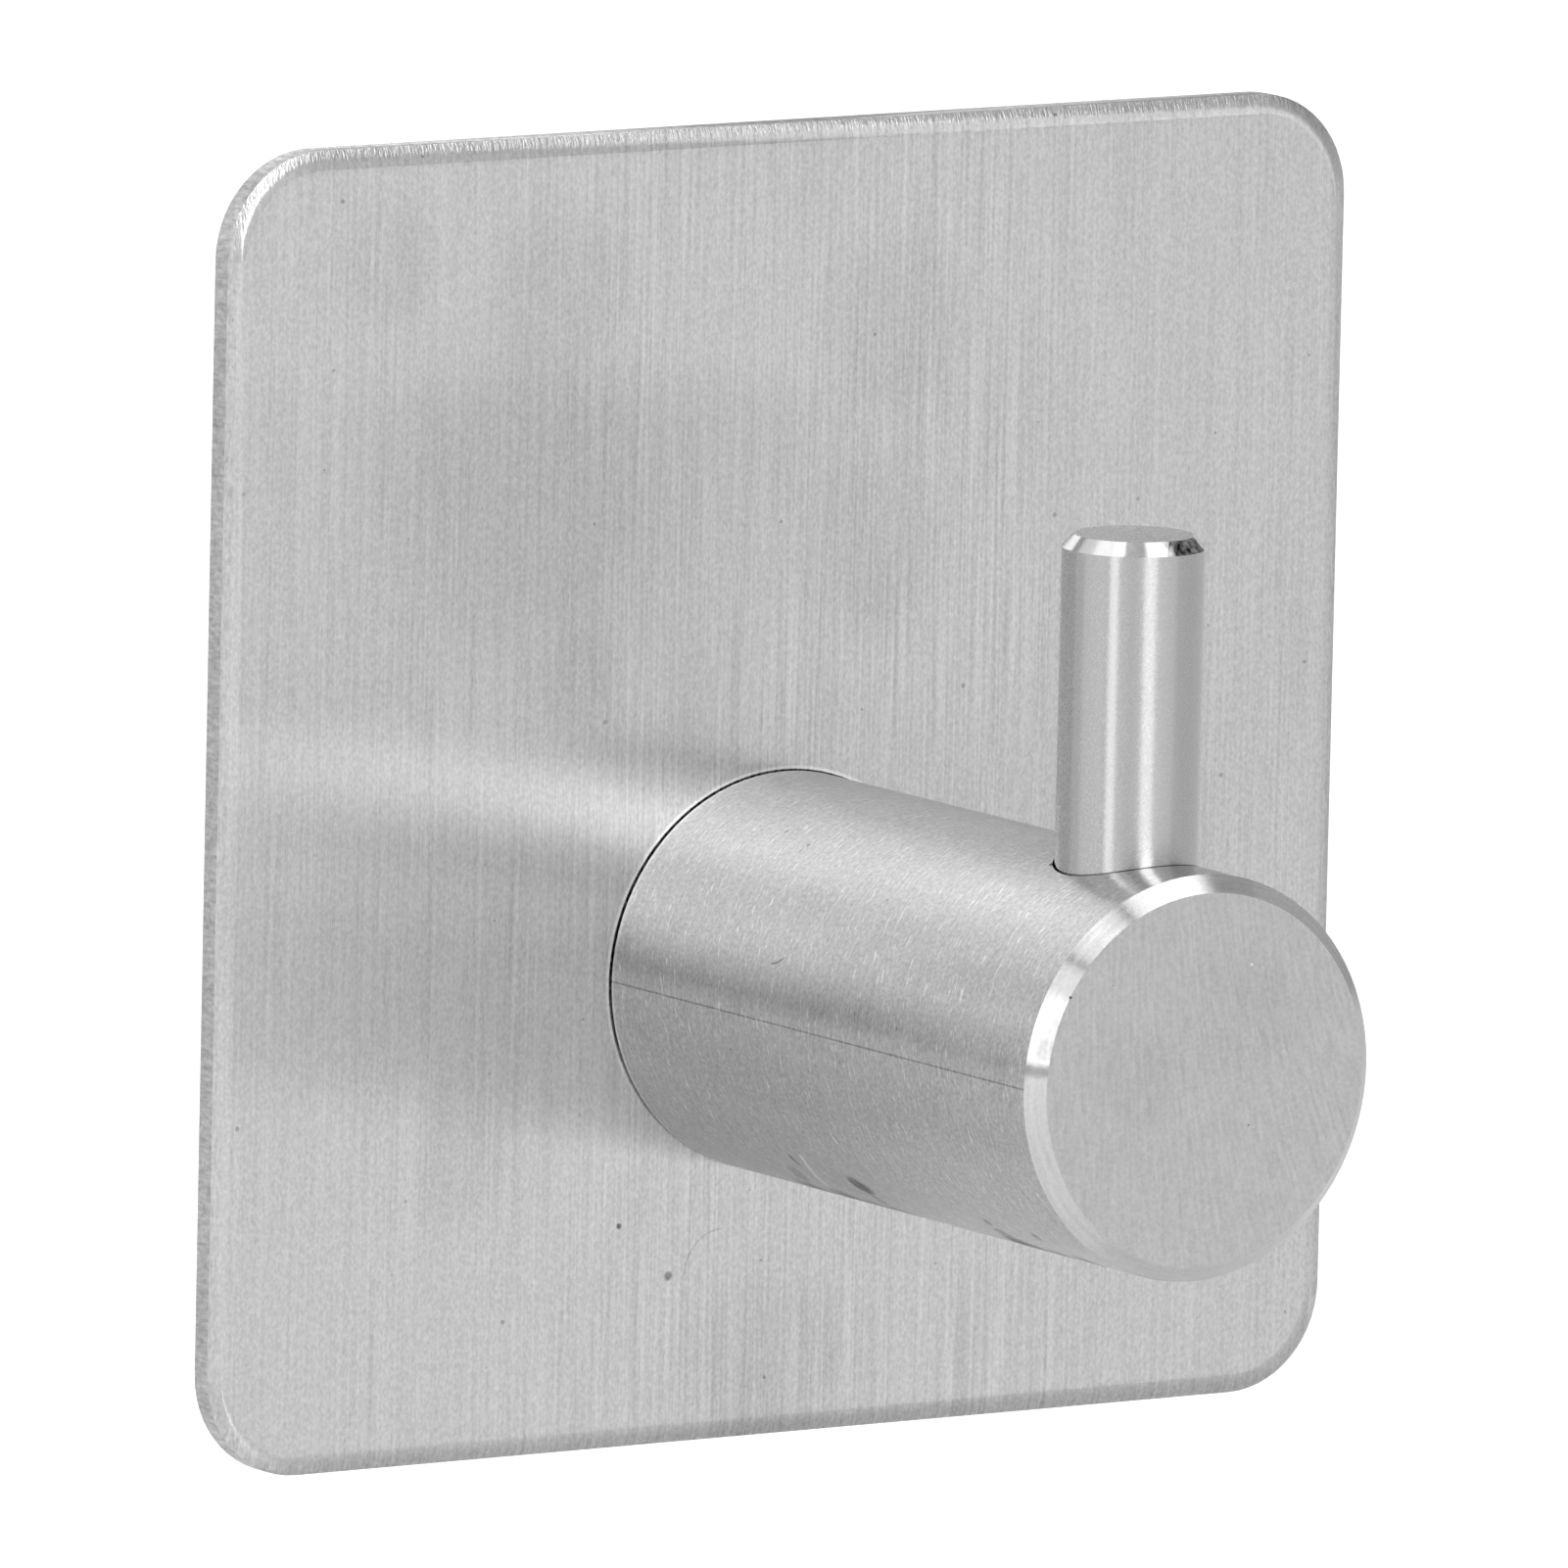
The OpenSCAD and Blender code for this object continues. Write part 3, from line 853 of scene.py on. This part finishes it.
# %% Make the ground finish of the pin
PIN_COLOUR = (0.557, 0.557, 0.557)
PIN_ROUGHNESS = 0.27
PIN_STRETCH = 0.9
GROUND_LINE = (1.4, 1.4, 0.10)
PIN_GRAIN = (0.10, 0.10, 0.14)
GROUND_LINE_TONE = 0.03
PIN_GRAIN_TONE = 0.20
PIN_BEVEL_TONE = 0.25
PIN_FOOT_TONE = -0.65
# Painted shade on the bevel's right side
DARK_SIDE_TONE = -1.0
GROUND_LINE_ROUGH = 0.02
PIN_GRAIN_ROUGH = 0.08
PIN_BEVEL_ROUGH = -0.12

ground = strokes(tree, place, GROUND_LINE)
grain = strokes(tree, place, PIN_GRAIN)
tone = weigh(tree, (ground, GROUND_LINE_TONE), (grain, PIN_GRAIN_TONE), (bevel, PIN_BEVEL_TONE),
             (foot, PIN_FOOT_TONE), (painted_dark_side, DARK_SIDE_TONE), start=1.0)
rough = weigh(tree, (ground, GROUND_LINE_ROUGH), (grain, PIN_GRAIN_ROUGH), (bevel, PIN_BEVEL_ROUGH),
              start=PIN_ROUGHNESS)
paint(tree, shader, PIN_COLOUR, tone, rough)
stretch(tree, shader, PIN_STRETCH, choose_way(tree, top, ALONG_Z, ALONG_X))
nodes["pin"].material_slots[0].material = pin_finish
print("pin finish:", len(tree.nodes), "nodes")

# %% [markdown]
# ## Plated screw
# A countersunk screw draws the post onto the plate from behind, and the tape covers it. Its bright zinc
# coat is thin and a little cloudy, over lines that run round the turned head. The solid keeps its shape
# and gets this finish.

# %% Make the plated finish of the screw
SCREW_COLOUR = (0.58, 0.60, 0.62)
SCREW_ROUGHNESS = 0.32
SCREW_LINE = (1.5, 0.06, 1.5)
SCREW_LINE_TONE = 0.12
SCREW_RELIEF = 0.002
COAT_CLOUD = (0.8, 0.8, 0.8)
COAT_CLOUD_TONE = 0.22
COAT_CLOUD_ROUGH = 0.20

screw_finish, tree, shader = new_finish("screw_steel")
place = place_in_mm(tree)
turned = strokes(tree, place, SCREW_LINE)
clouds = strokes(tree, place, COAT_CLOUD, BROKEN)
tone = weigh(tree, (turned, SCREW_LINE_TONE), (clouds, COAT_CLOUD_TONE), start=1.0)
rough = weigh(tree, (clouds, COAT_CLOUD_ROUGH), start=SCREW_ROUGHNESS)
paint(tree, shader, SCREW_COLOUR, tone, rough)
shader.inputs["Metallic"].default_value = 1.0
press(tree, shader, turned, SCREW_RELIEF)
nodes["screw"].material_slots[0].material = screw_finish
print("screw finish:", len(tree.nodes), "nodes")

# %% [markdown]
# ## Thin layers
# The tape and its liner are both cut from flat stock with a die. Each can be made from one outline: walk
# round it, fill it with a net of triangles, and set that net down twice, as the front and the back face,
# with rows of side faces between. The net lets the faces bend, which one large flat face could not.

# %% Helpers for layers cut from an outline
QUARTER = 90
UPPER_RIGHT = 0
UPPER_LEFT = 90
LOWER_LEFT = 180
LOWER_RIGHT = 270
CORNER_STEPS = 8
NET_CLEARANCE = 0.6
NET_TOLERANCE = 1e-7
NET_INSIDE = 1


def corner(middle_x, middle_z, radius, start):
    """Points along a round corner, a quarter turn from a start angle in degrees."""
    points = []
    for step in range(CORNER_STEPS + 1):
        turn = math.radians(start + QUARTER * step / CORNER_STEPS)
        points.append(Vector((middle_x + radius * math.cos(turn), middle_z + radius * math.sin(turn))))
    return points


def walk(outline, spacing):
    """The same outline with its long straight runs cut into steps of about the spacing."""
    points = []
    for here, there in zip(outline, outline[1:] + outline[:1]):
        steps = max(1, round((there - here).length / spacing))
        points += [here.lerp(there, step / steps) for step in range(steps)]
    return points


def fill(outline, spacing):
    """A net of triangles inside an outline: its points, outline first, and its triangles."""
    low_x = min(point.x for point in outline)
    high_x = max(point.x for point in outline)
    low_z = min(point.y for point in outline)
    high_z = max(point.y for point in outline)
    inner = []
    for row in range(1, round((high_z - low_z) / spacing)):
        for column in range(1, round((high_x - low_x) / spacing)):
            point = Vector((low_x + column * spacing, low_z + row * spacing))
            clear = min((point - other).length for other in outline)
            if clear > spacing * NET_CLEARANCE:
                inner.append(point)
    ring = list(range(len(outline)))
    net = delaunay_2d_cdt(outline + inner, [], [ring], NET_INSIDE, NET_TOLERANCE)
    return net[0], net[2]


def layer(name, outline, spacing, rows):
    """A closed mesh on the net of an outline; rows place the points of the net, from front to back."""
    points, triangles = fill(outline, spacing)
    shape = bmesh.new()
    front = [shape.verts.new(rows[0](point)) for point in points]
    back = [shape.verts.new(rows[-1](point)) for point in points]
    for triangle in triangles:
        shape.faces.new([front[index] for index in triangle])
        shape.faces.new([back[index] for index in reversed(triangle)])
    rings = [front[:len(outline)]]
    rings += [[shape.verts.new(row(point)) for point in outline] for row in rows[1:-1]]
    rings.append(back[:len(outline)])
    for near, far in zip(rings[:-1], rings[1:]):
        for index in range(len(outline)):
            after = (index + 1) % len(outline)
            shape.faces.new([near[index], far[index], far[after], near[after]])
    bmesh.ops.recalc_face_normals(shape, faces=shape.faces)
    mesh = bpy.data.meshes.new(name)
    shape.to_mesh(mesh)
    shape.free()
    made = bpy.data.objects.new(name, mesh)
    bpy.context.scene.collection.objects.link(made)
    return made


# %% [markdown]
# ## Foam tape
# Double-sided acrylic foam holds the hook to the wall. It lies flat against the plate and the liner, but
# its cut sides draw in a little between the two faces, and open cells leave them uneven. Six rows of side
# faces through its thickness, with the points between them moved inwards by different amounts, give that
# side. Both faces stay where the solid has them.

# %% Make the foam tape
TAPE_CORNER = 2.0 * MM
TAPE_STEP = 1.0 * MM
TAPE_NET = 2.0 * MM
TAPE_PINCH = 0.10 * MM
TAPE_UNEVEN = 0.05 * MM
TAPE_HOLLOW = 0.9 * MM
TAPE_ROWS = 6
# Which side each corner lies on, to the right and up, and where its arc starts
TAPE_CORNERS = ((1, 1, UPPER_RIGHT), (-1, 1, UPPER_LEFT), (-1, -1, LOWER_LEFT), (1, -1, LOWER_RIGHT))

tape_middle = (tape_low + tape_high) / 2
tape_half = (tape_high - tape_low) / 2


def tape_corner(side_x, side_z, start):
    """Points along one round corner of the tape."""
    middle_x = tape_middle.x + side_x * (tape_half.x - TAPE_CORNER)
    middle_z = tape_middle.z + side_z * (tape_half.z - TAPE_CORNER)
    return corner(middle_x, middle_z, TAPE_CORNER, start)


def tape_row(share):
    """One row of the tape's side, at a share of its thickness from the plate."""
    depth = tape_low.y + (tape_high.y - tape_low.y) * share
    pinch = math.sin(math.pi * share)

    def row(point):
        place = Vector((point.x, depth, point.y))
        uneven = noise.noise(place / TAPE_HOLLOW) / 2 + NOISE_MIDDLE
        inward = Vector((tape_middle.x - point.x, 0.0, tape_middle.z - point.y)).normalized()
        return place + inward * pinch * (TAPE_PINCH + TAPE_UNEVEN * uneven)

    return row


tape_corners = [tape_corner(*place) for place in TAPE_CORNERS]
tape_outline = walk(sum(tape_corners, []), TAPE_STEP)
tape_rows = [tape_row(row / TAPE_ROWS) for row in range(TAPE_ROWS + 1)]
foam_tape = layer("foam_tape_visual", tape_outline, TAPE_NET, tape_rows)
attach(foam_tape, "hook")
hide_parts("foam_tape")
print("foam tape:", len(foam_tape.data.vertices), "points")

# %% [markdown]
# The foam is dark grey and matt, full of tiny closed cells, and its faces carry a thin film of glue that
# shines a little. Cells from a Voronoi texture give the pores, and a mask by facing gives the glue.

# %% Make the finish of the foam
FOAM_COLOUR = (0.16, 0.16, 0.17)
FOAM_TONE = 0.85
FOAM_ROUGHNESS = 0.85
FOAM_RELIEF = 0.02
CELL_SIZE = 0.16
CELL_TONE = 0.45
FOAM_CLOUD = (3.0, 3.0, 3.0)
FOAM_CLOUD_TONE = 0.35
FOAM_CLOUD_ROUGH = 0.15
SPECKLE = (0.15, 0.15, 0.15)
SPECKLE_TONE = 0.30
SPECKLE_RELIEF = 0.5
GLUE_START = 0.80
GLUE_FULL = 0.95
GLUE_ROUGH = -0.40

foam_finish, tree, shader = new_finish("acrylic_foam")
place = place_in_mm(tree)
pores = add_node(tree, "ShaderNodeTexVoronoi", {"Vector": place, "Scale": 1 / CELL_SIZE})
cells = pores.outputs["Distance"]
clouds = strokes(tree, place, FOAM_CLOUD, BROKEN)
speckle = strokes(tree, place, SPECKLE)
glue = ramp(tree, calc(tree, "ABSOLUTE", facing(tree)["Y"]), GLUE_START, GLUE_FULL)
tone = weigh(tree, (cells, CELL_TONE), (clouds, FOAM_CLOUD_TONE), (speckle, SPECKLE_TONE), start=FOAM_TONE)
rough = weigh(tree, (glue, GLUE_ROUGH), (clouds, FOAM_CLOUD_ROUGH), start=FOAM_ROUGHNESS)
paint(tree, shader, FOAM_COLOUR, tone, rough)
press(tree, shader, weigh(tree, (cells, 1.0), (speckle, SPECKLE_RELIEF)), FOAM_RELIEF)
foam_tape.data.materials.append(foam_finish)
print("foam finish:", len(tree.nodes), "nodes")

# %% [markdown]
# ## Release liner
# A red plastic film keeps the tape's glue clean until the hook is put up. A short tab below the tape
# gives a finger something to pull. Film on a roll never lies quite flat once it is cut free, so the tab
# bends a little towards the plate. Where the film lies on the tape it stays flat, and everywhere it keeps
# its thickness.

# %% Make the release liner
LINER_STEP = 0.8 * MM
TAB_WIDTH = 12.0 * MM
TAB_CORNER_SHARE = 0.8
TAB_LIFT = 0.30 * MM
TAB_BEND = 1.6

tab_reach = tape_low.z - liner_low.z
tab_corner = TAB_CORNER_SHARE * tab_reach
tab_half = TAB_WIDTH / 2


def liner_row(depth):
    """One face of the liner: flat behind the tape, and bent towards the plate along the tab."""
    def row(point):
        along_tab = max(0.0, tape_low.z - point.y) / tab_reach
        return Vector((point.x, depth - TAB_LIFT * along_tab ** TAB_BEND, point.y))

    return row


liner_outline = sum(tape_corners[:3], [])
liner_outline.append(Vector((-tab_half, tape_low.z)))
liner_outline += corner(-tab_half + tab_corner, liner_low.z + tab_corner, tab_corner, LOWER_LEFT)
liner_outline += corner(tab_half - tab_corner, liner_low.z + tab_corner, tab_corner, LOWER_RIGHT)
liner_outline.append(Vector((tab_half, tape_low.z)))
liner_outline += tape_corners[3]
liner_outline = walk(liner_outline, LINER_STEP)
liner_rows = [liner_row(liner_low.y), liner_row(liner_high.y)]
release_liner = layer("release_liner_visual", liner_outline, LINER_STEP, liner_rows)
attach(release_liner, "liner")
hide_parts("release_liner")
print("release liner:", len(release_liner.data.vertices), "points")

# %% [markdown]
# The film is smooth and glossy, cloudy in its colour, with the faint lines of the roll that drew it and
# the foam's texture just showing through. It has no print.

# %% Make the finish of the liner
FILM_COLOUR = (0.60, 0.04, 0.05)
FILM_ROUGHNESS = 0.28
FILM_IOR = 1.5
FILM_RELIEF = 0.006
ROLL_LINE = (0.5, 2.0, 30.0)
ROLL_LINE_TONE = 0.10
ROLL_LINE_ROUGH = 0.10
ROLL_LINE_RELIEF = 0.6
FOAM_BELOW = (0.7, 0.7, 0.7)
FOAM_BELOW_TONE = 0.10
FOAM_BELOW_ROUGH = 0.12
FILM_CLOUD = (9.0, 9.0, 9.0)
FILM_CLOUD_TONE = 0.30

film_finish, tree, shader = new_finish("liner_film")
place = place_in_mm(tree)
roll_lines = strokes(tree, place, ROLL_LINE)
foam_below = strokes(tree, place, FOAM_BELOW, BROKEN)
clouds = strokes(tree, place, FILM_CLOUD, BROKEN)
tone = weigh(tree, (roll_lines, ROLL_LINE_TONE), (foam_below, FOAM_BELOW_TONE), (clouds, FILM_CLOUD_TONE),
             start=1.0)
rough = weigh(tree, (foam_below, FOAM_BELOW_ROUGH), (roll_lines, ROLL_LINE_ROUGH), start=FILM_ROUGHNESS)
paint(tree, shader, FILM_COLOUR, tone, rough)
shader.inputs["IOR"].default_value = FILM_IOR
press(tree, shader, weigh(tree, (foam_below, 1.0), (roll_lines, ROLL_LINE_RELIEF)), FILM_RELIEF)
release_liner.data.materials.append(film_finish)
print("film finish:", len(tree.nodes), "nodes")
